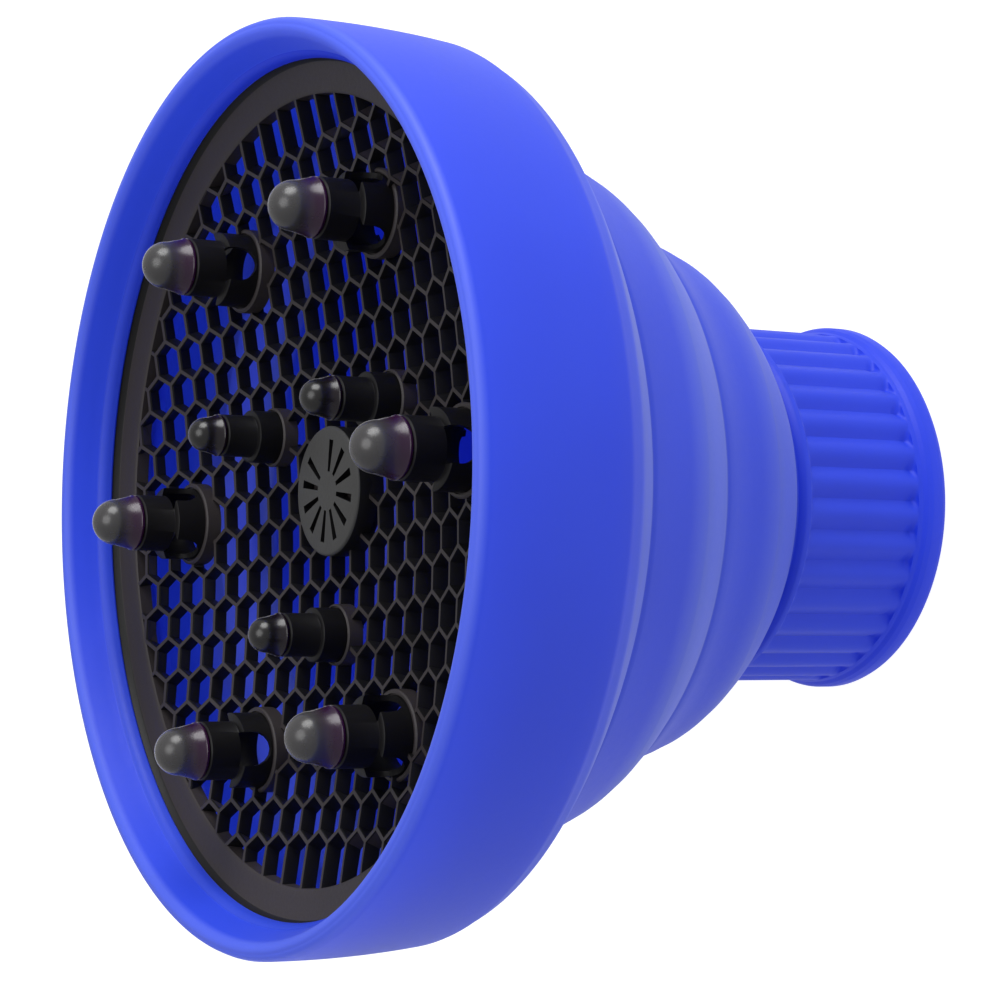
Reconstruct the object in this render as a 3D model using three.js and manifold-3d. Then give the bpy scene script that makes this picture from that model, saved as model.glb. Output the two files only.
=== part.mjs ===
// Folding dryer diffuser: a silicone bell in three tiers on a fluted collar, holding a dished
// honeycomb plate with six tall windowed fingers, three short fingers and a slotted centre disc.
// Millimetres, +Z from the collar towards the fingers, origin in the middle of the collar's end face.
import * as THREE from "three";
import { mergeVertices } from "three/addons/utils/BufferGeometryUtils.js";
import Module from "manifold-3d";

// Overall sizes
const GAP = 0.3;
const BELL_SEGMENTS = 36;
const WALL = 2.4;
const WEB = 1.9;

// Heights and radii where the bell changes from wall to fold web, from the collar up
const COLLAR_TOP = { r: 34.4, z: 34.1 };
const TIER_3_REAR = { r: 44.5, z: 47.1 };
const TIER_3_FRONT = { r: 50.4, z: 59.5 };
const TIER_2_REAR = { r: 57.3, z: 70.1 };
const TIER_2_FRONT = { r: 62.55, z: 82.1 };
const TIER_1_REAR = { r: 73.8, z: 92.0 };
const RIM = { r: 74.9, z: 120.3 };

// How far the middle of each band stands out from (or in from) the straight line
const BULGE_WEB_3 = 1.2;
const BULGE_TIER_3 = -1.0;
const BULGE_WEB_2 = 0.7;
const BULGE_TIER_2 = -0.3;
const BULGE_WEB_1 = 0.2;

// Collar
const COLLAR_BORE = 27.5;
const COLLAR_RADIUS = 31.4;
const FLANGE_RADIUS = 32.5;
const FLANGE_HEIGHT = 3.5;
const FLUTE_COUNT = 36;
const FLUTE_DEPTH = 0.9;
const FLUTE_BOTTOM = 6.5;
const FLUTE_TOP = 27.5;
const LIP_TOP = 30;
const NECK_RADIUS = 30.2;

// Lip that holds the plate
const LIP_BORE = 68.4;
const GROOVE_RADIUS = 70.6;
const GROOVE_FLOOR = 105.7;
const GROOVE_ROOF = 111.4;
const LEDGE_BORE = 67.6;

// Honeycomb plate
const PLATE_EDGE = 109;
const PLATE_RING_TOP = 111.1;
const PLATE_RING_RADIUS = 70.3;
const PLATE_BOTTOM = 106;
const CELL_FIELD = 63.8;
const DISH_DEPTH = 7.8;
const CELL_DEPTH = 2.2;
const CELL_PITCH = 6.76;
const CELL_WALL = 1.0;
const CELL_ROWS = 10;
const SMALLEST_CELL = 0.55;
const DISH_SEGMENTS = 24;
const DISH_RINGS = [34];

// Centre disc
const DISC_RADIUS = 10.6;
const DISC_TOP = 103.5;
const DISC_UNDERSIDE = 101.9;
const DISC_SEAT = 101.6;
const DISC_SPIGOT = 9.4;
const SLOT_COUNT = 12;
const SLOT_OFFSET = 15;
const BLANK_SLOT = 3;
const SLOT_INNER = 3.2;
const SLOT_OUTER = 8.3;
const SLOT_WIDTH = 1.1;

// Fingers: distance from the axis, first angle in degrees, then radii and heights of the steps
const OUTER = {
  count: 6, pitchRadius: 47.1, firstAngle: 0, segments: 12,
  seat: 105.6, seatRadius: 7.2, base: 6.3, shoulder: 111, stem: 4.85, top: 116.5,
  spigot: 4.4, bore: 3.4, baseBore: 5.0, boreStep: 109.8,
};
const INNER = {
  count: 3, pitchRadius: 23.42, firstAngle: 30, segments: 12,
  seat: 102.7, seatRadius: 5.0, base: 4.4, shoulder: 107.2, stem: 3.5, top: 112.6,
  spigot: 2.9, bore: 1.9, baseBore: 1.9, boreStep: 104,
};
const SEAT_HEIGHT = 5;
const WINDOW_COUNT = 3;
const WINDOW_WIDTH = 5;
const WINDOW_SILL = 106.6;
const WINDOW_HEAD = 111.2;

// Caps: outline as share of the stem radius against height above the stem
const CAP_WALL = 1.0;
const CAP_SPIGOT = 2.6;
const OUTER_CAP_HEIGHT = 8.0;
const INNER_CAP_HEIGHT = 5.8;
const CAP_SHARES = [[1, 0], [0.98, 0.35], [0.8, 0.7], [0.45, 0.93], [0, 1]];

const COLOURS = { silicone: 0x3f52e0, web: 0x7d8cf0, plate: 0x2e2d30, disc: 0x3a3a3d, cap: 0x57525c };

const wasm = await Module();
wasm.setup();

function toSolid(geometry) {
  const plain = geometry.clone();
  plain.deleteAttribute("normal");
  plain.deleteAttribute("uv");
  const merged = mergeVertices(plain, 1e-4);
  const vertProperties = new Float32Array(merged.attributes.position.array);
  const triVerts = new Uint32Array(merged.index.array);
  return new wasm.Manifold(new wasm.Mesh({ numProp: 3, vertProperties, triVerts }));
}

function toGeometry(solid) {
  const mesh = solid.getMesh();
  const positions = new Float32Array(mesh.numVert * 3);
  for (let i = 0; i < mesh.numVert; i += 1) {
    for (let axis = 0; axis < 3; axis += 1) {
      positions[i * 3 + axis] = mesh.vertProperties[i * mesh.numProp + axis];
    }
  }
  const geometry = new THREE.BufferGeometry();
  geometry.setAttribute("position", new THREE.BufferAttribute(positions, 3));
  geometry.setIndex(new THREE.BufferAttribute(new Uint32Array(mesh.triVerts), 1));
  geometry.computeVertexNormals();
  return geometry;
}

function joined(solids) {
  return solids.reduce((whole, next) => whole.add(next));
}

// Turns a closed outline of [radius, height] pairs about the Z axis.
function turned(outline, segments) {
  const points = outline.map(([r, z]) => new THREE.Vector2(r, z));
  const first = points[0];
  const closesOnAxis = first.x === 0 && points[points.length - 1].x === 0;
  if (!closesOnAxis) points.push(first.clone());
  const geometry = new THREE.LatheGeometry(points, segments);
  geometry.rotateX(Math.PI / 2);
  return geometry;
}

// A short round bar standing along Z.
function bar(radius, bottom, top, segments) {
  const geometry = new THREE.CylinderGeometry(radius, radius, top - bottom, segments);
  geometry.rotateX(Math.PI / 2);
  geometry.translate(0, 0, (top + bottom) / 2);
  return geometry;
}

function around(count, firstAngle, radius) {
  const places = [];
  for (let i = 0; i < count; i += 1) {
    const angle = THREE.MathUtils.degToRad(firstAngle + (360 * i) / count);
    places.push({ angle, x: radius * Math.cos(angle), y: radius * Math.sin(angle) });
  }
  return places;
}

function place(geometry, spot) {
  const moved = geometry.clone();
  moved.rotateZ(spot.angle);
  moved.translate(spot.x, spot.y, 0);
  return moved;
}

// One band of the bell: outer line from the rear edge to the front edge with a bulged middle,
// and the same line moved inwards by the thickness.
function band(rear, front, thickness, bulge) {
  const middle = { r: (rear.r + front.r) / 2 + bulge, z: (rear.z + front.z) / 2 };
  const outer = [rear, middle, front].map(({ r, z }) => [r, z]);
  const inner = outer.map(([r, z]) => [r - thickness, z]).reverse();
  return turned([...outer, ...inner], BELL_SEGMENTS);
}

function raised(point, amount) {
  return { r: point.r, z: point.z + amount };
}

function tierOne() {
  const outline = [
    [TIER_1_REAR.r, TIER_1_REAR.z],
    [RIM.r, 106],
    [RIM.r - 0.2, RIM.z - 2.8],
    [RIM.r - 0.6, RIM.z - 0.7],
    [RIM.r - 1.5, RIM.z],
    [RIM.r - 2.7, RIM.z - 0.7],
    [LIP_BORE + 0.4, GROOVE_ROOF + 1.6],
    [LIP_BORE, GROOVE_ROOF],
    [GROOVE_RADIUS, GROOVE_ROOF],
    [GROOVE_RADIUS, GROOVE_FLOOR],
    [LEDGE_BORE, GROOVE_FLOOR],
    [LEDGE_BORE, GROOVE_FLOOR - 1.6],
    [TIER_1_REAR.r - WALL + 0.4, GROOVE_FLOOR - 5],
    [TIER_1_REAR.r - WALL, TIER_1_REAR.z],
  ];
  return turned(outline, BELL_SEGMENTS);
}

// Presses shallow upright flutes into the collar between two heights.
function fluted(geometry) {
  const position = geometry.attributes.position;
  for (let i = 0; i < position.count; i += 1) {
    const x = position.getX(i);
    const y = position.getY(i);
    const z = position.getZ(i);
    const radius = Math.hypot(x, y);
    const onFlutes = radius > COLLAR_RADIUS - 0.1 && z > FLUTE_BOTTOM - 0.1 && z < FLUTE_TOP + 0.1;
    if (!onFlutes) continue;
    const depth = (FLUTE_DEPTH * (1 - Math.cos(FLUTE_COUNT * Math.atan2(y, x)))) / 2;
    position.setXY(i, (x * (radius - depth)) / radius, (y * (radius - depth)) / radius);
  }
  return geometry;
}

function collar() {
  const outline = [
    [FLANGE_RADIUS - 0.8, 0],
    [FLANGE_RADIUS, 1],
    [FLANGE_RADIUS, FLANGE_HEIGHT - 1],
    [COLLAR_RADIUS - 0.2, FLUTE_BOTTOM - 1.4],
    [COLLAR_RADIUS, FLUTE_BOTTOM],
    [COLLAR_RADIUS, FLUTE_TOP],
    [COLLAR_RADIUS - 0.2, LIP_TOP],
    [NECK_RADIUS, LIP_TOP + 0.8],
    [NECK_RADIUS + 0.4, LIP_TOP + 2],
    [COLLAR_TOP.r - 0.3, COLLAR_TOP.z - GAP],
    [COLLAR_TOP.r - 0.3 - WALL, COLLAR_TOP.z - GAP],
    [COLLAR_BORE, LIP_TOP],
    [COLLAR_BORE, 0],
  ];
  return fluted(turned(outline, FLUTE_COUNT * 2));
}

function dishHeight(radius) {
  return PLATE_EDGE - DISH_DEPTH * (1 - (radius / CELL_FIELD) ** 2);
}

// The plate before its holes: plain ring outside, dished field inside.
function plateBlank() {
  const rings = [...DISH_RINGS, CELL_FIELD];
  const back = rings.map((r) => [r, dishHeight(r) - CELL_DEPTH]);
  const front = rings.map((r) => [r, dishHeight(r)]).reverse();
  const outline = [
    [0, dishHeight(0) - CELL_DEPTH],
    ...back,
    [LEDGE_BORE - 1, PLATE_BOTTOM],
    [PLATE_RING_RADIUS, PLATE_BOTTOM],
    [PLATE_RING_RADIUS, PLATE_RING_TOP],
    [LIP_BORE, PLATE_RING_TOP],
    ...front,
    [0, dishHeight(0)],
  ];
  return turned(outline, DISH_SEGMENTS);
}

function cellCentres() {
  const centres = [];
  for (let row = -CELL_ROWS; row <= CELL_ROWS; row += 1) {
    const shift = row % 2 === 0 ? 0 : 0.5;
    for (let column = -CELL_ROWS; column <= CELL_ROWS; column += 1) {
      const x = (column + shift) * CELL_PITCH;
      const y = (row * CELL_PITCH * Math.sqrt(3)) / 2;
      const kept = Math.hypot(x, y) < CELL_FIELD + CELL_PITCH * (SMALLEST_CELL - 0.5);
      if (kept) centres.push({ x, y, row });
    }
  }
  return centres;
}

function seatedFingers() {
  return [OUTER, INNER].map((kind) => ({
    kind,
    spots: around(kind.count, kind.firstAngle, kind.pitchRadius),
  }));
}

// All the cells as one cutting body, trimmed by the ring and kept off the seats. The cells of the
// outermost rows run straight on to the ring.
function cellCutters() {
  const across = CELL_PITCH - CELL_WALL;
  const bottom = PLATE_EDGE - DISH_DEPTH - CELL_DEPTH - 2;
  const top = PLATE_RING_TOP + 2;
  const cells = [];
  for (const { x, y, row } of cellCentres()) {
    const cell = bar(across / Math.sqrt(3), bottom, top, 6);
    cell.translate(x, y, 0);
    cells.push(toSolid(cell));
    if (Math.abs(row) < CELL_ROWS) continue;
    const run = new THREE.BoxGeometry(across, CELL_PITCH, top - bottom);
    run.translate(x, y + (Math.sign(row) * CELL_PITCH) / 2, (top + bottom) / 2);
    cells.push(toSolid(run));
  }
  const field = toSolid(bar(CELL_FIELD - 0.2, bottom - 1, top + 1, DISH_SEGMENTS));
  const kept = [toSolid(bar(DISC_RADIUS + 0.5, bottom - 1, top + 1, 24))];
  for (const { kind, spots } of seatedFingers()) {
    const post = bar(kind.seatRadius, bottom - 1, top + 1, kind.segments);
    kept.push(...spots.map((spot) => toSolid(place(post, spot))));
  }
  return wasm.Manifold.union(cells).intersect(field).subtract(joined(kept));
}

function plate() {
  let solid = toSolid(plateBlank());
  const removed = [
    toSolid(bar(DISC_RADIUS + GAP, DISC_SEAT, PLATE_EDGE, 24)),
    toSolid(bar(DISC_SPIGOT + GAP, 0, PLATE_EDGE, 24)),
  ];
  for (const { kind, spots } of seatedFingers()) {
    const seat = bar(kind.seatRadius, kind.seat - SEAT_HEIGHT, kind.seat, kind.segments);
    const recess = bar(kind.base + GAP, kind.seat, PLATE_EDGE + 2, kind.segments);
    const bore = bar(kind.spigot + GAP, 0, PLATE_EDGE, kind.segments);
    for (const spot of spots) {
      solid = solid.add(toSolid(place(seat, spot)));
      removed.push(toSolid(place(recess, spot)), toSolid(place(bore, spot)));
    }
  }
  return toGeometry(solid.subtract(joined(removed)).subtract(cellCutters()));
}

function centreDisc() {
  const outline = [
    [0, DISC_UNDERSIDE],
    [DISC_SPIGOT - 0.8, DISC_UNDERSIDE],
    [DISC_SPIGOT - 0.8, DISC_UNDERSIDE - 4],
    [DISC_SPIGOT, DISC_UNDERSIDE - 4],
    [DISC_SPIGOT, DISC_UNDERSIDE],
    [DISC_RADIUS, DISC_UNDERSIDE],
    [DISC_RADIUS, DISC_TOP - 0.4],
    [DISC_RADIUS - 0.4, DISC_TOP],
    [0, DISC_TOP],
  ];
  const slots = [];
  around(SLOT_COUNT, SLOT_OFFSET, (SLOT_INNER + SLOT_OUTER) / 2).forEach((spot, index) => {
    if (index === BLANK_SLOT) return;
    const slot = new THREE.BoxGeometry(SLOT_OUTER - SLOT_INNER, SLOT_WIDTH, 8);
    slot.translate(0, 0, DISC_TOP);
    slots.push(toSolid(place(slot, spot)));
  });
  return toGeometry(toSolid(turned(outline, 24)).subtract(joined(slots)));
}

// A stepped tube: spigot in the plate, wide base, narrow stem, open at both ends.
function fingerBody(kind) {
  const foot = kind.seat + GAP;
  const outline = [
    [kind.bore, foot - 4],
    [kind.spigot, foot - 4],
    [kind.spigot, foot],
    [kind.base, foot],
    [kind.base, kind.shoulder - 0.5],
    [kind.base - 0.5, kind.shoulder],
    [kind.stem, kind.shoulder],
    [kind.stem, kind.top],
    [kind.bore, kind.top],
  ];
  if (kind.baseBore > kind.bore) {
    outline.push([kind.bore, kind.boreStep + 1], [kind.baseBore, kind.boreStep], [kind.baseBore, foot + 1]);
    outline.push([kind.bore, foot]);
  }
  return turned(outline, kind.segments);
}

// A U-shaped opening through one side of the base and its shoulder, cut outwards along +X.
function windowCutter() {
  const half = WINDOW_WIDTH / 2;
  const outline = new THREE.Shape();
  outline.moveTo(-half, WINDOW_HEAD);
  outline.lineTo(-half, WINDOW_SILL + half * 0.7);
  outline.lineTo(-half * 0.5, WINDOW_SILL);
  outline.lineTo(half * 0.5, WINDOW_SILL);
  outline.lineTo(half, WINDOW_SILL + half * 0.7);
  outline.lineTo(half, WINDOW_HEAD);
  const geometry = new THREE.ExtrudeGeometry(outline, { depth: OUTER.base + 2, bevelEnabled: false });
  geometry.rotateX(Math.PI / 2);
  geometry.rotateZ(Math.PI / 2);
  return geometry;
}

function outerFinger() {
  const window = windowCutter();
  const cutters = around(WINDOW_COUNT, 0, 0).map((spot) => toSolid(place(window, spot)));
  return toGeometry(toSolid(fingerBody(OUTER)).subtract(joined(cutters)));
}

// A hollow dome with a short spigot that sits in the top of the stem.
function cap(kind, height) {
  const foot = kind.top + GAP;
  const spigot = kind.bore - GAP;
  const outside = CAP_SHARES.map(([share, rise]) => [share * kind.stem, foot + rise * height]);
  const outline = [
    [0, foot + height - CAP_WALL * 1.5],
    [spigot - CAP_WALL, foot + height * 0.45],
    [spigot - CAP_WALL, foot - CAP_SPIGOT],
    [spigot, foot - CAP_SPIGOT],
    [spigot, foot],
    ...outside,
  ];
  return turned(outline, kind.segments);
}

const part = new THREE.Group();
part.name = "folding_dryer_diffuser";

function addPiece(name, geometry, colour, roughness) {
  const material = new THREE.MeshStandardMaterial({ color: colour, roughness, metalness: 0 });
  const mesh = new THREE.Mesh(geometry, material);
  mesh.name = name;
  part.add(mesh);
}

addPiece("collar", collar(), COLOURS.silicone, 0.5);
const web3 = band(COLLAR_TOP, raised(TIER_3_REAR, -GAP), WEB, BULGE_WEB_3);
addPiece("fold_web_3", web3, COLOURS.web, 0.5);
addPiece("tier_3", band(TIER_3_REAR, TIER_3_FRONT, WALL, BULGE_TIER_3), COLOURS.silicone, 0.5);
const web2 = band(raised(TIER_3_FRONT, GAP), raised(TIER_2_REAR, -GAP), WEB, BULGE_WEB_2);
addPiece("fold_web_2", web2, COLOURS.web, 0.5);
addPiece("tier_2", band(TIER_2_REAR, TIER_2_FRONT, WALL, BULGE_TIER_2), COLOURS.silicone, 0.5);
const web1 = band(raised(TIER_2_FRONT, GAP), raised(TIER_1_REAR, -GAP), WEB, BULGE_WEB_1);
addPiece("fold_web_1", web1, COLOURS.web, 0.5);
addPiece("tier_1", tierOne(), COLOURS.silicone, 0.5);
addPiece("honeycomb_plate", plate(), COLOURS.plate, 0.55);
addPiece("centre_disc", centreDisc(), COLOURS.disc, 0.55);

const outerBody = outerFinger();
const outerCap = cap(OUTER, OUTER_CAP_HEIGHT);
around(OUTER.count, OUTER.firstAngle, OUTER.pitchRadius).forEach((spot, index) => {
  addPiece(`outer_finger_${index + 1}`, place(outerBody, spot), COLOURS.disc, 0.5);
  addPiece(`outer_cap_${index + 1}`, place(outerCap, spot), COLOURS.cap, 0.15);
});

const innerBody = fingerBody(INNER);
const innerCap = cap(INNER, INNER_CAP_HEIGHT);
around(INNER.count, INNER.firstAngle, INNER.pitchRadius).forEach((spot, index) => {
  addPiece(`inner_finger_${index + 1}`, place(innerBody, spot), COLOURS.disc, 0.5);
  addPiece(`inner_cap_${index + 1}`, place(innerCap, spot), COLOURS.cap, 0.15);
});

export default part;
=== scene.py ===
import math

import bmesh
import bpy
from mathutils import Matrix, Vector


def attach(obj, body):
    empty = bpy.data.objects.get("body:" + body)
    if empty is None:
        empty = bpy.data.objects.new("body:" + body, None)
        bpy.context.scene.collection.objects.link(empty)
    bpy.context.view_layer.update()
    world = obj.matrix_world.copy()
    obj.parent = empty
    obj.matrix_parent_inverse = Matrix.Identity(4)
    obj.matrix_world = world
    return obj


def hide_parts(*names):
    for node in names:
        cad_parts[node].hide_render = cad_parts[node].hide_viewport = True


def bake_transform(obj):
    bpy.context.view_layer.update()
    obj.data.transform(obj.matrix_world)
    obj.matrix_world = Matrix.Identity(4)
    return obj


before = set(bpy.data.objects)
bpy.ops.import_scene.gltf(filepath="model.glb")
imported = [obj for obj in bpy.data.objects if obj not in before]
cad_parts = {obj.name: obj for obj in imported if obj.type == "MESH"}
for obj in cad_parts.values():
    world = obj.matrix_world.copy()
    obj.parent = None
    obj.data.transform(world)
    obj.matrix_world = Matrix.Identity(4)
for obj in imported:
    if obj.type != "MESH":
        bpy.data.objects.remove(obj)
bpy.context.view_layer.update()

MM = 0.001
TURNS = 240  # segments round the bell
CREASE_ANGLE = math.radians(38)  # edges bent more than this stay sharp

# Camera: where it stands, which way it looks and which way is up, in metres and in the object's frame
CAMERA_PLACE = Vector((0.39068, -0.05552, 0.31115))
CAMERA_LOOK = Vector((-0.84618, 0.12082, -0.51902))
CAMERA_UP = Vector((0.12414, 0.99186, 0.02851))
LENS_MM = 99.65

# Bell, in mm: (radius, height) of each corner
COLLAR_BORE = 27.5
FLANGE = (32.5, 3.8)
COLLAR_RADIUS = 31.3
LIP_RADIUS = 31.75
NECK = (30.4, 31.2)
SHOULDER_3 = ((34.4, 34.1), (44.5, 47.1))
SHOULDER_2 = ((49.9, 59.6), (57.3, 70.1))
SHOULDER_1 = ((62.1, 82.1), (73.8, 92.0))
RIM = (74.75, 117.2)
WALL = 2.2
WEB = 1.4

# Each tier from the collar to the rim: its shoulder, and how far the shoulder and the wall bow out
TIERS = ((SHOULDER_3, 1.2, -0.7), (SHOULDER_2, 0.9, -0.15), (SHOULDER_1, 0.5, 0.45))

# Heights where the pieces of the bell meet: [low, high] of each fold web
WEB_3 = (35.2, 44.2)
WEB_2 = (60.3, 67.6)
WEB_1 = (82.9, 89.6)

# Rolled edge of the rim, and the groove in its lip that holds the plate
RIM_ROLL = [(74.75, 117.2), (74.7, 118.1), (74.35, 118.9), (73.6, 119.45), (72.7, 119.4), (72.0, 118.95),
            (71.55, 118.15), (70.9, 116.3), (70.05, 113.75), (69.75, 113.45), (69.35, 113.0), (69.1, 112.3),
            (69.0, 111.6), (69.2, 111.3)]
LIP_GROOVE = [(70.7, 111.3), (70.7, 105.7), (67.6, 105.7), (67.5, 104.4), (70.4, 102.2)]
# Faces of the rim's inner ledge, inside this radius and between these heights, get a paler copy of the
# silicone: a painted highlight
LIP_FACE_RADIUS = 70.05
LIP_FACE_LOW, LIP_FACE_HIGH = 111.5, 113.7

# Heights of the crease and the roll of each fold, in mm, how strongly each fold is lightened as painted
# sheen, and the height that the folds' ramp spans; then the heights and painted sheen of the rim's crest,
# and the colour the sheen is painted in
FOLDS = tuple((crease[1], roll[1]) for crease, roll in (SHOULDER_3, SHOULDER_2, SHOULDER_1))
FOLD_PAINTED_SHEEN = (0.16, 0.27, 0.24)
FOLD_SCALE = 125.0
CREST_LOW, CREST_HIGH, CREST_PAINTED_SHEEN = 117.9, 118.5, 0.26
SHEEN_PAINT_BLUE = (0.30, 0.40, 0.95, 1)

# Light that passes the silicone: deep blue below the first height, the given colour above the second
GLOW_LOW, GLOW_HIGH = 66.0, 92.0
DEEP_BLUE = (0.003, 0.03, 0.7, 1)

# Flutes of the collar
FLUTES = 36
FLUTE_DEPTH = 1.0
FLUTE_LOW = 5.6
FLUTE_HIGH = 28.6
FLUTE_STEP = 0.12  # between the rings of points that round the ends of the flutes

# Honeycomb plate, in mm
FIELD = 63.8
DISH = 7.8
PLATE_EDGE = 109.0
PLATE_RING = [(FIELD, 106.6), (66.6, 106.0), (70.45, 106.0), (70.45, 111.1), (69.4, 111.1), (68.75, 110.0),
              (FIELD + 0.3, 109.1), (FIELD, 108.85)]
PITCH = 6.76
CELL_WALL = 0.85
CELL_FLARE = 0.35
CELL_DEPTH = 2.5
CELL_LEAN = 1.1  # how far the back of a cell at the edge stands outside its front
CELL_REACH = FIELD + 3.4  # cells are made this far out, so that the ring trims the last ones
DISC_CLEARANCE = 9.0
LAST_ROW = 10

# Centre disc, in mm, with slots at all but one of twelve places
DISC_OUTLINE = [(0, 101.9), (8.7, 101.9), (8.7, 98.2), (9.4, 98.2), (9.4, 99.6), (10.6, 99.9),
                (10.6, 103.1), (10.4, 103.4), (10.1, 103.5), (0, 103.5)]
SLOT_CORNERS = ((3.2, -0.35), (8.4, -0.68), (8.4, 0.68), (3.2, 0.35))
SLOT_PLACES = 12
BLANK_PLACE = 3

# Fingers, in mm
OUTER = dict(name="outer", count=6, ring=47.1, first=0, seat_r=7.15, base_r=6.25, stem_r=4.85,
             seat=105.6, shoulder=111.0, top=116.5, cap=7.5, margin=4.2)
INNER = dict(name="inner", count=3, ring=23.42, first=30, seat_r=5.0, base_r=4.4, stem_r=3.5,
             seat=102.7, shoulder=107.2, top=112.6, cap=5.4, margin=2.8)
SEAT_REACH = 2.3
WINDOWS = 3
WINDOW_HALF = 2.8
CAP_WALL = 0.9


# ---------------------------------------------------------------- outlines

def bowed(start, end, bulge, steps=24):
    """Points from start to just before end, with the middle standing out by bulge."""
    points = []
    for i in range(steps):
        t = i / steps
        lift = 4 * bulge * t * (1 - t)
        points.append((start[0] + (end[0] - start[0]) * t + lift, start[1] + (end[1] - start[1]) * t))
    return points


def dense(points, step=0.2):
    out = []
    for (r0, z0), (r1, z1) in zip(points, points[1:]):
        count = max(1, round(math.hypot(r1 - r0, z1 - z0) / step))
        out += [(r0 + (r1 - r0) * i / count, z0 + (z1 - z0) * i / count) for i in range(count)]
    return out + [points[-1]]


def softened(points, corners, step=0.2):
    """Rounds an open line near each (corner point, reach) by averaging along it."""
    line = dense(points, step)
    result = list(line)
    for corner, reach in corners:
        middle = min(range(len(line)), key=lambda i: math.dist(line[i], corner))
        span = max(1, round(reach / step))
        for i in range(max(0, middle - span), min(len(line), middle + span + 1)):
            half = min(span - abs(i - middle), i, len(line) - 1 - i)
            if half < 1:
                continue
            near = line[i - half:i + half + 1]
            result[i] = (sum(p[0] for p in near) / len(near), sum(p[1] for p in near) / len(near))
    return result


def inset(points, thickness):
    """The line moved to its inner side by thickness(height)."""
    moved = []
    for i, (r, z) in enumerate(points):
        r0, z0 = points[max(0, i - 1)]
        r1, z1 = points[min(len(points) - 1, i + 1)]
        length = math.hypot(r1 - r0, z1 - z0) or 1
        depth = thickness(z)
        moved.append((r - depth * (z1 - z0) / length, z + depth * (r1 - r0) / length))
    return moved


def thinned(points, tolerance=0.012):
    """Drops points that lie on the straight line between their neighbours."""
    kept = [points[0]]
    for i in range(1, len(points) - 1):
        (ra, za), (rb, zb), (rc, zc) = kept[-1], points[i], points[i + 1]
        chord = math.hypot(rc - ra, zc - za) or 1
        away = abs((rc - ra) * (zb - za) - (rb - ra) * (zc - za)) / chord
        if away > tolerance or chord > 3:
            kept.append(points[i])
    return kept + [points[-1]]


def between(line, low, high):
    """The stretch of a rising line between two heights, cut exactly at both."""
    out = []
    for (r0, z0), (r1, z1) in zip(line, line[1:]):
        for z in (low, high):
            if z0 < z < z1:
                share = (z - z0) / (z1 - z0)
                out.append((r0 + (r1 - r0) * share, z))
        if low <= z1 <= high:
            out.append((r1, z1))
    return sorted(set(out), key=lambda p: p[1])


# ---------------------------------------------------------------- meshes

def new_object(name, bm, material):
    mesh = bpy.data.meshes.new(name)
    bmesh.ops.recalc_face_normals(bm, faces=bm.faces)
    bm.to_mesh(mesh)
    bm.free()
    for polygon in mesh.polygons:
        polygon.use_smooth = True
    mesh.set_sharp_from_angle(angle=CREASE_ANGLE)
    obj = bpy.data.objects.new(name, mesh)
    bpy.context.scene.collection.objects.link(obj)
    obj.data.materials.append(material)
    return obj


def lathe_into(bm, outline, turns, centre=(0, 0), shape=None):
    """Turns a closed outline of (radius, height) in mm about an upright axis through centre."""
    rings = []
    for r, z in outline:
        if r < 1e-6:
            rings.append([bm.verts.new((centre[0] * MM, centre[1] * MM, z * MM))])
            continue
        ring = []
        for k in range(turns):
            angle = 2 * math.pi * k / turns
            radius = shape(r, z, angle) if shape else r
            x = centre[0] + radius * math.cos(angle)
            y = centre[1] + radius * math.sin(angle)
            ring.append(bm.verts.new((x * MM, y * MM, z * MM)))
        rings.append(ring)
    closed = list(zip(rings, rings[1:] + rings[:1]))
    for low, high in closed:
        if len(low) == 1 and len(high) == 1:
            continue
        for k in range(turns):
            n = (k + 1) % turns
            if len(low) == 1:
                bm.faces.new((low[0], high[n], high[k]))
            elif len(high) == 1:
                bm.faces.new((low[k], low[n], high[0]))
            else:
                bm.faces.new((low[k], low[n], high[n], high[k]))


def lathe(name, outline, material, turns=TURNS, centre=(0, 0), shape=None):
    bm = bmesh.new()
    lathe_into(bm, outline, turns, centre, shape)
    return new_object(name, bm, material)


def prism_into(bm, rings):
    """Closed solid through rings of equal length, each a list of (x, y, z) in mm."""
    layers = [[bm.verts.new(Vector(p) * MM) for p in ring] for ring in rings]
    count = len(layers[0])
    for low, high in zip(layers, layers[1:]):
        for k in range(count):
            n = (k + 1) % count
            bm.faces.new((low[k], low[n], high[n], high[k]))
    bm.faces.new(reversed(layers[0]))
    bm.faces.new(layers[-1])


def cut(obj, cutter_bm):
    """Takes the cutting body out of obj, then removes the cutter."""
    mesh = bpy.data.meshes.new("cutter")
    bmesh.ops.recalc_face_normals(cutter_bm, faces=cutter_bm.faces)
    cutter_bm.to_mesh(mesh)
    cutter_bm.free()
    cutter = bpy.data.objects.new("cutter", mesh)
    bpy.context.scene.collection.objects.link(cutter)
    modifier = obj.modifiers.new("cut", "BOOLEAN")
    modifier.operation = "DIFFERENCE"
    modifier.solver = "EXACT"
    modifier.object = cutter
    graph = bpy.context.evaluated_depsgraph_get()
    result = bpy.data.meshes.new_from_object(obj.evaluated_get(graph))
    obj.modifiers.clear()
    obj.data = result
    bpy.data.objects.remove(cutter)
    return obj


def stand_for(obj, body, cad_node):
    """Fixes a piece to its body, in place of one CAD node."""
    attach(obj, body)
    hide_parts(cad_node)


# ---------------------------------------------------------------- materials

def material(name, colour, roughness, **sockets):
    made = bpy.data.materials.new(name)
    made.use_nodes = True
    shader = made.node_tree.nodes["Principled BSDF"]
    shader.inputs["Base Color"].default_value = (*colour, 1)
    shader.inputs["Roughness"].default_value = roughness
    for key, value in sockets.items():
        shader.inputs[key.replace("_", " ")].default_value = value
    return made


GRAIN_HEIGHT = 0.0002  # metres


def node(tree, kind, **settings):
    made = tree.nodes.new(kind)
    for key, value in settings.items():
        if key in made.inputs:
            made.inputs[key].default_value = value
        else:
            setattr(made, key, value)
    return made


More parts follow.
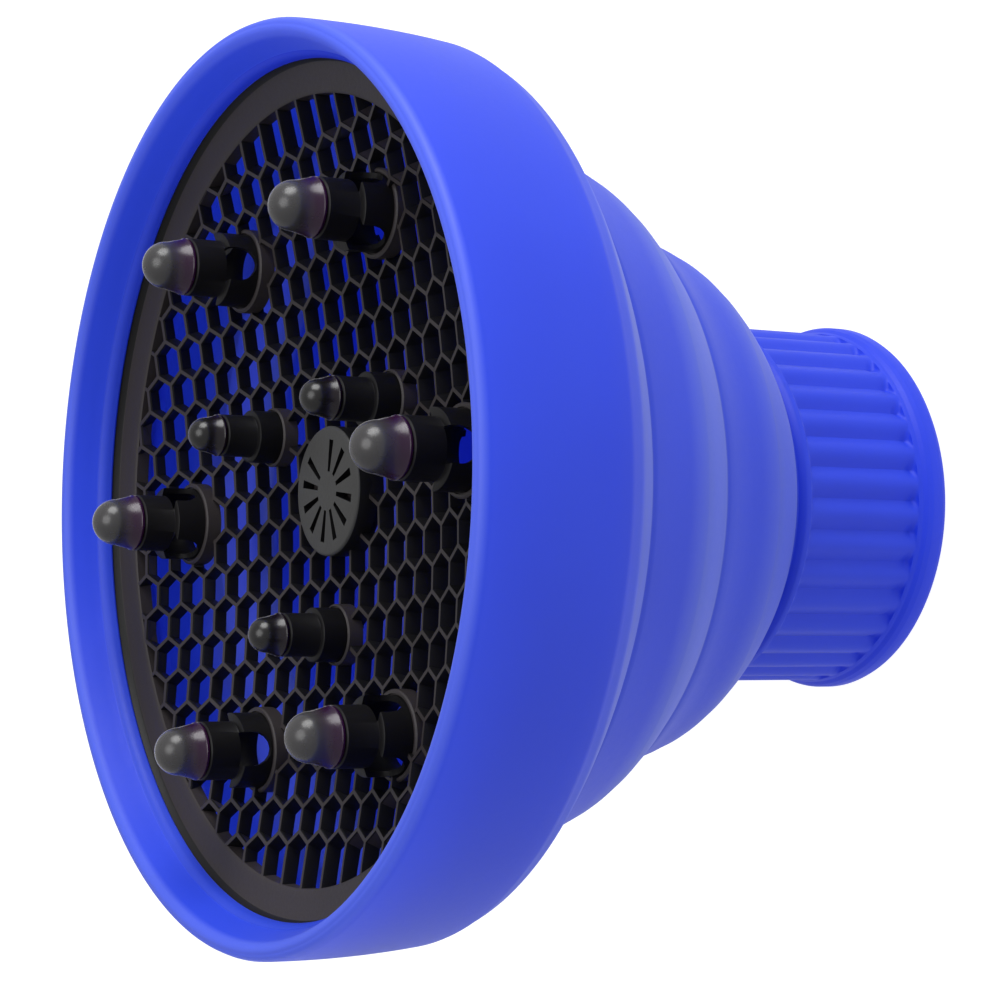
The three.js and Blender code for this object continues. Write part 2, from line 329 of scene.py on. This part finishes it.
def grained(made, colours, scale, bump, rough):
    """Adds slow colour variation, fine surface grain and roughness variation to a material."""
    tree = made.node_tree
    shader = tree.nodes["Principled BSDF"]
    place = node(tree, "ShaderNodeTexCoord")
    cloud = node(tree, "ShaderNodeTexNoise", Scale=18.0, Detail=3.0, Roughness=0.55)
    ramp = node(tree, "ShaderNodeValToRGB")
    ramp.color_ramp.elements[0].position = 0.3
    ramp.color_ramp.elements[0].color = (*colours[0], 1)
    ramp.color_ramp.elements[1].position = 0.7
    ramp.color_ramp.elements[1].color = (*colours[1], 1)
    grain = node(tree, "ShaderNodeTexNoise", Scale=scale, Detail=4.0, Roughness=0.6)
    bumps = node(tree, "ShaderNodeBump", Strength=bump, Distance=GRAIN_HEIGHT)
    link = tree.links.new
    link(place.outputs["Object"], cloud.inputs["Vector"])
    link(place.outputs["Object"], grain.inputs["Vector"])
    link(cloud.outputs["Fac"], ramp.inputs["Fac"])
    link(ramp.outputs["Color"], shader.inputs["Base Color"])
    link(grain.outputs["Fac"], bumps.inputs["Height"])
    link(bumps.outputs["Normal"], shader.inputs["Normal"])
    spread = node(tree, "ShaderNodeMapRange")
    spread.inputs["To Min"].default_value = rough[0]
    spread.inputs["To Max"].default_value = rough[1]
    link(grain.outputs["Fac"], spread.inputs["Value"])
    link(spread.outputs["Result"], shader.inputs["Roughness"])
    return made


def paint_fold_and_crest_sheen(made):
    """Lightens the thin fold webs, sharply at each crease and fading over the roll, and the rim's crest:
    painted sheen where light catches the rolls and the crest.
    """
    tree = made.node_tree
    link = tree.links.new
    shader = tree.nodes["Principled BSDF"]
    place = node(tree, "ShaderNodeTexCoord")
    parts = node(tree, "ShaderNodeSeparateXYZ")
    height = node(tree, "ShaderNodeMapRange")
    height.inputs["From Max"].default_value = FOLD_SCALE * MM
    ramp = node(tree, "ShaderNodeValToRGB")
    stops = ramp.color_ramp.elements
    stops[0].color = stops[1].color = (0, 0, 0, 1)
    for (crease, roll), peak in zip(FOLDS, FOLD_PAINTED_SHEEN):
        for z, level in ((crease - 0.1, 0.0), (crease + 0.3, peak), (roll - 3, peak), (roll + 2.2, 0.0)):
            stops.new(z / FOLD_SCALE).color = (level, level, level, 1)
    for z, level in ((CREST_LOW, 0.0), (CREST_HIGH, CREST_PAINTED_SHEEN)):
        stops.new(z / FOLD_SCALE).color = (level, level, level, 1)
    stops[len(stops) - 1].color = (CREST_PAINTED_SHEEN, CREST_PAINTED_SHEEN, CREST_PAINTED_SHEEN, 1)
    mix = node(tree, "ShaderNodeMix", data_type="RGBA")
    mix.inputs["B"].default_value = SHEEN_PAINT_BLUE
    coloured = shader.inputs["Base Color"].links[0].from_socket
    link(place.outputs["Object"], parts.inputs["Vector"])
    link(parts.outputs["Z"], height.inputs["Value"])
    link(height.outputs["Result"], ramp.inputs["Fac"])
    link(ramp.outputs["Color"], mix.inputs["Factor"])
    link(coloured, mix.inputs["A"])
    link(mix.outputs["Result"], shader.inputs["Base Color"])


def glowing_through(made, share, colour):
    """Lets a share of the light pass, as thin silicone does: paler near the rim, deep blue lower down."""
    tree = made.node_tree
    link = tree.links.new
    place = node(tree, "ShaderNodeTexCoord")
    parts = node(tree, "ShaderNodeSeparateXYZ")
    height = node(tree, "ShaderNodeMapRange")
    height.inputs["From Min"].default_value = GLOW_LOW * MM
    height.inputs["From Max"].default_value = GLOW_HIGH * MM
    ramp = node(tree, "ShaderNodeValToRGB")
    ramp.color_ramp.elements[0].color = DEEP_BLUE
    ramp.color_ramp.elements[1].color = (*colour, 1)
    thin = node(tree, "ShaderNodeBsdfTranslucent")
    mix = node(tree, "ShaderNodeMixShader")
    mix.inputs["Fac"].default_value = share
    link(place.outputs["Object"], parts.inputs["Vector"])
    link(parts.outputs["Z"], height.inputs["Value"])
    link(height.outputs["Result"], ramp.inputs["Fac"])
    link(ramp.outputs["Color"], thin.inputs["Color"])
    link(tree.nodes["Principled BSDF"].outputs["BSDF"], mix.inputs[1])
    link(thin.outputs["BSDF"], mix.inputs[2])
    link(mix.outputs["Shader"], tree.nodes["Material Output"].inputs["Surface"])


def smoky_plastic(name, grey, foot, span):
    """Dark see-through plastic with a purple cast, darker near its foot, and a pale outline where it is
    seen edge-on, a painted reflection; foot and span are heights in mm.
    """
    made = material(name, grey, 0.16, Transmission_Weight=0.42, IOR=1.4, Specular_IOR_Level=0.7)
    tree = made.node_tree
    link = tree.links.new
    shader = tree.nodes["Principled BSDF"]
    place = node(tree, "ShaderNodeTexCoord")
    parts = node(tree, "ShaderNodeSeparateXYZ")
    height = node(tree, "ShaderNodeMapRange")
    height.inputs["From Min"].default_value = foot * MM
    height.inputs["From Max"].default_value = (foot + span) * MM
    ramp = node(tree, "ShaderNodeValToRGB")
    ramp.color_ramp.elements[0].position = 0.25
    ramp.color_ramp.elements[0].color = (grey[0] * 0.45, grey[1] * 0.06, grey[2] * 0.5, 1)
    ramp.color_ramp.elements[1].position = 0.58
    ramp.color_ramp.elements[1].color = (*grey, 1)
    # painted reflection: the base colour turns pale where the cap is seen edge-on
    edge = node(tree, "ShaderNodeLayerWeight", Blend=0.5)
    rise = node(tree, "ShaderNodeMapRange")
    rise.inputs["From Min"].default_value = 0.76
    rise.inputs["From Max"].default_value = 0.98
    outline = node(tree, "ShaderNodeMix", data_type="RGBA")
    outline.inputs["B"].default_value = (0.75, 0.74, 0.76, 1)
    haze = node(tree, "ShaderNodeTexNoise", Scale=260.0, Detail=3.0)
    bumps = node(tree, "ShaderNodeBump", Strength=0.05, Distance=0.0003)
    spread = node(tree, "ShaderNodeMapRange")
    spread.inputs["To Min"].default_value = 0.2
    spread.inputs["To Max"].default_value = 0.33
    link(place.outputs["Object"], parts.inputs["Vector"])
    link(place.outputs["Object"], haze.inputs["Vector"])
    link(parts.outputs["Z"], height.inputs["Value"])
    link(height.outputs["Result"], ramp.inputs["Fac"])
    link(edge.outputs["Facing"], rise.inputs["Value"])
    link(rise.outputs["Result"], outline.inputs["Factor"])
    link(ramp.outputs["Color"], outline.inputs["A"])
    link(outline.outputs["Result"], shader.inputs["Base Color"])
    link(haze.outputs["Fac"], bumps.inputs["Height"])
    link(bumps.outputs["Normal"], shader.inputs["Normal"])
    link(haze.outputs["Fac"], spread.inputs["Value"])
    link(spread.outputs["Result"], shader.inputs["Roughness"])
    return made


silicone = grained(
    material("silicone", (0.013, 0.058, 0.8), 0.5, Sheen_Weight=0.2, Sheen_Roughness=0.4,
             Sheen_Tint=(0.8, 0.9, 1.0, 1), Specular_IOR_Level=0.55),
    colours=((0.012, 0.054, 0.72), (0.017, 0.067, 0.79)), scale=900.0, bump=0.10, rough=(0.46, 0.6))
# painted sheen: the folds and the rim's crest are lightened in the base colour
paint_fold_and_crest_sheen(silicone)
glowing_through(silicone, share=0.45, colour=(0.15, 0.25, 0.85))
# A paler copy of the silicone for the ledge under the rim's inner slope: a painted highlight
silicone_lip_highlight = grained(
    material("silicone_lip_highlight", (0.028, 0.074, 0.6), 0.5, Specular_IOR_Level=0.4),
    colours=((0.024, 0.064, 0.52), (0.03, 0.075, 0.58)), scale=900.0, bump=0.10, rough=(0.42, 0.56))
glowing_through(silicone_lip_highlight, share=0.35, colour=(0.02, 0.065, 1.0))
plate_black = grained(
    material("plate_black", (0.018, 0.017, 0.018), 0.5, Specular_IOR_Level=0.3),
    colours=((0.018, 0.0148, 0.016), (0.026, 0.0215, 0.0225)), scale=1500.0, bump=0.18, rough=(0.42, 0.6))
# Near-black plastic of the fingers; also laid on upright and tucked-away faces of the plate and disc as
# painted shade
fitting_black_and_shade = grained(
    material("fitting_black_and_shade", (0.004, 0.004, 0.0045), 0.4, Specular_IOR_Level=0.18),
    colours=((0.003, 0.003, 0.0035), (0.006, 0.0055, 0.006)), scale=1300.0, bump=0.12, rough=(0.36, 0.5))
disc_grey = grained(
    material("disc_grey", (0.036, 0.036, 0.036), 0.55, Specular_IOR_Level=0.3),
    colours=((0.033, 0.033, 0.033), (0.042, 0.042, 0.041)), scale=1500.0, bump=0.2, rough=(0.5, 0.65))
smoky = smoky_plastic("smoky_cap", (0.062, 0.06, 0.062), OUTER["top"], OUTER["cap"])
smoky_dark = smoky_plastic("smoky_cap_dark", (0.012, 0.0115, 0.012), INNER["top"], INNER["cap"])


# ---------------------------------------------------------------- bell

def brink(shoulder):
    """Where a tier's wall ends, just behind the crease at the foot of a shoulder."""
    return shoulder[0][0] - 0.1, shoulder[0][1] - 0.8


def bell_outer():
    """Outer line of the bell from the flange to the rim, with its corners softened."""
    line = [(FLANGE[0] - 0.9, 0), (FLANGE[0], 0.9), (FLANGE[0], FLANGE[1]), (COLLAR_RADIUS, 5.1),
            (COLLAR_RADIUS, 28.9), (LIP_RADIUS, 29.1), (LIP_RADIUS, 30.0), NECK]
    wall_ends = (brink(SHOULDER_2), brink(SHOULDER_1), RIM)
    for (shoulder, swell, bow), end in zip(TIERS, wall_ends):
        line += bowed(*shoulder, swell) + bowed(shoulder[1], end, bow) + [end]
    corners = [((FLANGE[0], 0.9), 0.8), (FLANGE, 1.2), ((COLLAR_RADIUS, 5.1), 1.0),
               ((COLLAR_RADIUS, 28.9), 0.3), ((LIP_RADIUS, 30.0), 0.5), (NECK, 0.8),
               (SHOULDER_3[0], 1.2), (SHOULDER_3[1], 4.0), (brink(SHOULDER_2), 0.9),
               (SHOULDER_2[0], 0.25), (SHOULDER_2[1], 4.0), (brink(SHOULDER_1), 0.9),
               (SHOULDER_1[0], 0.25), (SHOULDER_1[1], 4.0)]
    return softened(line, corners)


def wall_thickness(z):
    """Thin on the fold webs, full on the tiers, with short ramps between."""
    thin = 0.0
    for low, high in (SHOULDER_3, SHOULDER_2, SHOULDER_1):
        ramp = min((z - low[1]) / 2.5, (high[1] - 1.5 - z) / 2.5, 1.0)
        thin = max(thin, ramp)
    thin = thin * thin * (3 - 2 * thin)
    return WALL + (WEB - WALL) * thin


def bell_inner(outer):
    line = [(r, z) for r, z in inset(outer, wall_thickness) if z > 32.5]
    throat = (max(COLLAR_BORE, line[0][0] - 1.2), 31.0)
    line = [(COLLAR_BORE, 0.0), (COLLAR_BORE, 29.0), throat] + line
    return softened(line, [((COLLAR_BORE, 29.0), 1.5), (throat, 1.5)])


def fluted(radius, z, angle):
    """Shallow rounded flutes on the collar, with closed round ends."""
    if radius < COLLAR_RADIUS - 0.6 or not FLUTE_LOW < z < FLUTE_HIGH:
        return radius
    run = min(z - FLUTE_LOW, FLUTE_HIGH - z, 1.0)
    end = math.sqrt(max(0.0, 1 - (1 - run) ** 2))
    wave = 0.5 + 0.5 * math.cos(FLUTES * angle)
    pocket = 1 + 0.22 * math.exp(-((z - FLUTE_LOW - 1.0) / 0.8) ** 2)
    return radius - FLUTE_DEPTH * end * pocket * (1 - wave ** 0.6)


outer_line = bell_outer()
inner_line = bell_inner(outer_line)


def bell_band(low, high):
    out = thinned(between(outer_line, low, high))
    inside = thinned(between(inner_line, low, high))
    return out + inside[::-1]


def collar_outline():
    fine = [(COLLAR_RADIUS, FLUTE_LOW + FLUTE_STEP * k) for k in range(24)]
    fine += [(COLLAR_RADIUS, FLUTE_HIGH - FLUTE_STEP * (8 - k)) for k in range(9)]
    out = [p for p in thinned(between(outer_line, 0, WEB_3[0])) if not FLUTE_LOW - 0.1 < p[1] < 28.8]
    out = sorted(out + fine, key=lambda p: p[1])
    base = [(FLANGE[0] - 0.9, 0.0)]
    inside = thinned(between(inner_line, 0, WEB_3[0]))
    return base + [p for p in out if p[1] > 0] + inside[::-1] + [(COLLAR_BORE + 0.5, 0.0)]


def tier_1_outline():
    out = between(outer_line, WEB_1[1], RIM[1] - 0.3)
    roll = softened(RIM_ROLL, [(RIM_ROLL[3], 1.4), (RIM_ROLL[6], 0.4), (RIM_ROLL[8], 0.3),
                               (RIM_ROLL[11], 0.4)])
    inside = between(inner_line, WEB_1[1], 100.5)
    return thinned(out) + thinned(roll, 0.006) + LIP_GROOVE + thinned(inside)[::-1]


collar = lathe("collar_sleeve", collar_outline(), silicone, turns=FLUTES * 16, shape=fluted)
tier_3 = lathe("bell_tier_3", bell_band(WEB_3[1], WEB_2[0]), silicone)
tier_2 = lathe("bell_tier_2", bell_band(WEB_2[1], WEB_1[0]), silicone)
tier_1 = lathe("bell_tier_1", tier_1_outline(), silicone)
# the rim's ledge gets the paler silicone, a painted highlight
tier_1.data.materials.append(silicone_lip_highlight)
for polygon in tier_1.data.polygons:
    r, z = math.hypot(*polygon.center.xy) / MM, polygon.center.z / MM
    on_lip_highlight = r < LIP_FACE_RADIUS and LIP_FACE_LOW < z < LIP_FACE_HIGH
    polygon.material_index = 1 if on_lip_highlight else 0
stand_for(collar, "collar_body", "collar")
stand_for(tier_3, "tier_3_body", "tier_3")
stand_for(tier_2, "tier_2_body", "tier_2")
stand_for(tier_1, "head", "tier_1")

for name, span, low_body, high_body in (
    ("fold_web_3", WEB_3, "collar_body", "tier_3_body"),
    ("fold_web_2", WEB_2, "tier_3_body", "tier_2_body"),
    ("fold_web_1", WEB_1, "tier_2_body", "head"),
):
    web = lathe("bell_" + name, bell_band(*span), silicone)
    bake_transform(web)
    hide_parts(name)


# ---------------------------------------------------------------- honeycomb plate

def dish(x, y):
    return -DISH * max(0.0, 1 - (x * x + y * y) / FIELD ** 2)


def spots(kind):
    step = 360 / kind["count"]
    for i in range(kind["count"]):
        angle = math.radians(kind["first"] + step * i)
        yield i + 1, angle, (kind["ring"] * math.cos(angle), kind["ring"] * math.sin(angle))


def cell_places():
    for row in range(-LAST_ROW, LAST_ROW + 1):
        for column in range(-LAST_ROW, LAST_ROW + 1):
            x = (column + (row % 2) / 2) * PITCH
            y = row * PITCH * math.sqrt(3) / 2
            if math.hypot(x, y) < CELL_REACH:
                yield x, y, row


def hexagon(x, y, across, row):
    corner = across / math.sqrt(3)
    points = []
    for k in range(6):
        angle = math.radians(30 + 60 * k)
        points.append([x + corner * math.cos(angle), y + corner * math.sin(angle)])
    if abs(row) == LAST_ROW:
        for point in points:
            if (point[1] - y) * row > 0:
                point[1] = y + math.copysign(PITCH * 1.3, row)
    return points


def clear_of_seats(x, y):
    if math.hypot(x, y) < DISC_CLEARANCE:
        return False
    for kind in (OUTER, INNER):
        for _, _, (sx, sy) in spots(kind):
            if math.hypot(x - sx, y - sy) < kind["margin"]:
                return False
    return True


def shade_upright_faces(obj, limit):
    """Gives the faces that stand upright the darker black: painted shade on the upright sides."""
    obj.data.materials.append(fitting_black_and_shade)
    for polygon in obj.data.polygons:
        polygon.material_index = 1 if abs(polygon.normal.z) < limit else 0


def honeycomb():
    """Flat sheet with leaning hexagonal holes, eased edges and bores for the fingers, then dished."""
    bm = bmesh.new()
    lathe_into(bm, [(0, -CELL_DEPTH), (FIELD + 0.8, -CELL_DEPTH), (FIELD + 0.8, 0), (0, 0)], 180)
    sheet = new_object("honeycomb", bm, plate_black)
    holes = bmesh.new()
    low = -CELL_DEPTH
    for x, y, row in cell_places():
        if not clear_of_seats(x, y):
            continue
        across = PITCH - CELL_WALL
        lean = CELL_LEAN / FIELD
        straight = hexagon(x, y, across, row)
        back = [(px + x * lean, py + y * lean) for px, py in straight]
        flared = hexagon(x, y, across + CELL_FLARE, row)
        rings = [(back, low - 0.25), (back, low + 0.1), (straight, -0.25), (flared, 0.2)]
        prism_into(holes, [[(px, py, z) for px, py in ring] for ring, z in rings])
    cut(sheet, holes)
    bores = bmesh.new()
    for kind in (OUTER, INNER):
        for _, _, place in spots(kind):
            bore = kind["base_r"] - 0.4
            lathe_into(bores, [(0, low - 1), (bore, low - 1), (bore, 1), (0, 1)], 48, place)
    cut(sheet, bores)
    # painted shade on the cell walls and bore sides
    shade_upright_faces(sheet, 0.4)
    for vertex in sheet.data.vertices:
        x, y = vertex.co.x / MM, vertex.co.y / MM
        vertex.co.z += (PLATE_EDGE + dish(x, y)) * MM
    return sheet


plate = honeycomb()
bm = bmesh.new()
bm.from_mesh(plate.data)
ring = softened(PLATE_RING, [(PLATE_RING[5], 0.2), (PLATE_RING[6], 0.3)])
lathe_into(bm, thinned(ring), TURNS)
# The ring's faces up in the groove under the rim's lip get the darker black: painted shade
for face in bm.faces:
    centre = face.calc_center_median() / MM
    if math.hypot(centre.x, centre.y) > 68.7 and centre.z > 109.8:
        face.material_index = 1
for kind in (OUTER, INNER):
    for _, _, place in spots(kind):
        r, top = kind["seat_r"], kind["seat"]
        bore, gap = kind["base_r"] - 0.6, kind["base_r"] + 0.2
        seat = [(bore, top - SEAT_REACH), (r, top - SEAT_REACH), (r, top + 0.15), (r - 0.25, top + 0.4),
                (gap + 0.05, top + 0.4), (gap, top), (bore, top)]
        lathe_into(bm, seat, 64, place)
bm.to_mesh(plate.data)
bm.free()
plate.data.set_sharp_from_angle(angle=CREASE_ANGLE)
plate.name = plate.data.name = "honeycomb_grille"
stand_for(plate, "head", "honeycomb_plate")


# ---------------------------------------------------------------- centre disc

def centre_disc():
    disc = lathe("slotted_disc", DISC_OUTLINE, disc_grey, turns=96)
    slots = bmesh.new()
    step = 360 / SLOT_PLACES
    for k in range(SLOT_PLACES):
        if k == BLANK_PLACE:
            continue
        turn = Matrix.Rotation(math.radians(step * (k + 0.5)), 3, "Z")
        corners = [turn @ Vector((along, side, 0)) for along, side in SLOT_CORNERS]
        prism_into(slots, [[(c.x, c.y, z) for c in corners] for z in (101.0, 104.2)])
    return cut(disc, slots)


disc = centre_disc()
# painted shade on the slot sides and the disc's edge
shade_upright_faces(disc, 0.5)
disc.data.set_sharp_from_angle(angle=CREASE_ANGLE)
stand_for(disc, "head", "centre_disc")


# ---------------------------------------------------------------- fingers

def finger_outline(kind):
    base, stem, seat = kind["base_r"], kind["stem_r"], kind["seat"]
    shoulder, top = kind["shoulder"], kind["top"]
    outside = [(base - 0.65, seat - SEAT_REACH), (base - 0.65, seat + 0.1), (base, seat + 0.1),
               (base, shoulder - 0.15), (base - 0.2, shoulder), (stem + 0.05, shoulder),
               (stem, shoulder + 0.1), (stem, top - 0.25), (stem - 0.25, top)]
    inside = [(stem - 1.5, top), (stem - 1.5, shoulder - 0.6), (base - 0.9, shoulder - 0.8),
              (base - 0.9, seat + 0.3), (base - 1.1, seat), (base - 1.1, seat - SEAT_REACH)]
    return outside + inside


def finger_windows(kind, centre, angle):
    """Three U-shaped openings round the wide base, open at the shoulder."""
    body = bmesh.new()
    half, low, high = WINDOW_HALF, kind["seat"] + 0.6, kind["shoulder"] + 0.15
    shape = [(half, high), (-half, high)]
    for k in range(9):
        turn = math.pi + math.pi * k / 8
        shape.append((half * math.cos(turn), low + half * (1 + math.sin(turn))))
    for k in range(WINDOWS):
        spin = Matrix.Rotation(angle + math.radians(360 / WINDOWS * k), 3, "Z")
        rings = []
        for along in (1.0, kind["base_r"] + 1.5):
            ring = []
            for side, z in shape:
                spot = spin @ Vector((along, side, 0))
                ring.append((spot.x + centre[0], spot.y + centre[1], z))
            rings.append(ring)
        prism_into(body, rings)
    return body


def cap_outline(kind):
    """Hollow dome on a slightly tapered skirt, with a small bead at its foot."""
    r, foot, height = 0.96 * kind["stem_r"], kind["top"] + 0.15, kind["cap"]
    ball = 0.85 * r
    belt = foot + height - ball

    def arc(radius):
        return [(radius * math.cos(math.pi * k / 32), belt + radius * math.sin(math.pi * k / 32))
                for k in range(16)] + [(0.0, belt + radius)]

    bead = [(r - 0.2, foot), (r + 0.15, foot + 0.15), (r + 0.15, foot + 0.5), (r - 0.02, foot + 0.65)]
    return arc(ball - CAP_WALL)[::-1] + [(r - 1.1, foot)] + bead + arc(ball)


for kind, windows, tint in ((OUTER, True, smoky), (INNER, False, smoky_dark)):
    for number, angle, place in spots(kind):
        body = lathe(f"{kind['name']}_finger_{number}_body", finger_outline(kind), fitting_black_and_shade, 72, place)
        if windows:
            cut(body, finger_windows(kind, place, angle))
            body.data.set_sharp_from_angle(angle=CREASE_ANGLE)
        stand_for(body, "head", f"{kind['name']}_finger_{number}")
        cap = lathe(f"{kind['name']}_dome_{number}", cap_outline(kind), tint, 72, place)
        stand_for(cap, "head", f"{kind['name']}_cap_{number}")


# ---------------------------------------------------------------- stage, light and camera

LIGHT_SIZE = 0.8
BELL_MIDDLE = Vector((0, 0, 0.06))


def area_light(name, place, power):
    """Round soft light that faces the middle of the bell."""
    data = bpy.data.lights.new(name, "AREA")
    data.shape = "DISK"
    data.size = LIGHT_SIZE
    data.energy = power
    lamp = bpy.data.objects.new(name, data)
    bpy.context.scene.collection.objects.link(lamp)
    lamp.location = place
    lamp.rotation_euler = (BELL_MIDDLE - Vector(place)).to_track_quat("-Z", "Y").to_euler()


floor_bm = bmesh.new()
bmesh.ops.create_grid(floor_bm, x_segments=2, y_segments=2, size=6)
paper = material("light_table", (0.25, 0.25, 0.25), 0.9,
                 Emission_Color=(1, 1, 1, 1), Emission_Strength=0.95)
floor = new_object("studio_floor", floor_bm, paper)

area_light("key", place=(0.40, 0.95, 0.50), power=12.5)
area_light("front", place=(0.35, 0.15, 1.10), power=5.5)

world = bpy.data.worlds.new("studio")
world.use_nodes = True
world.node_tree.nodes["Background"].inputs["Color"].default_value = (1, 1, 1, 1)
world.node_tree.nodes["Background"].inputs["Strength"].default_value = 0.56
bpy.context.scene.world = world
bpy.context.scene.view_settings.view_transform = "Standard"

camera_data = bpy.data.cameras.new("camera")
camera_data.lens = LENS_MM
camera_data.sensor_width = 36
camera = bpy.data.objects.new("camera", camera_data)
bpy.context.scene.collection.objects.link(camera)
right = CAMERA_LOOK.cross(CAMERA_UP).normalized()
upright = right.cross(CAMERA_LOOK).normalized()
axes = Matrix((right, upright, -CAMERA_LOOK.normalized())).transposed()
camera.matrix_world = Matrix.Translation(CAMERA_PLACE) @ axes.to_4x4()
bpy.context.scene.camera = camera
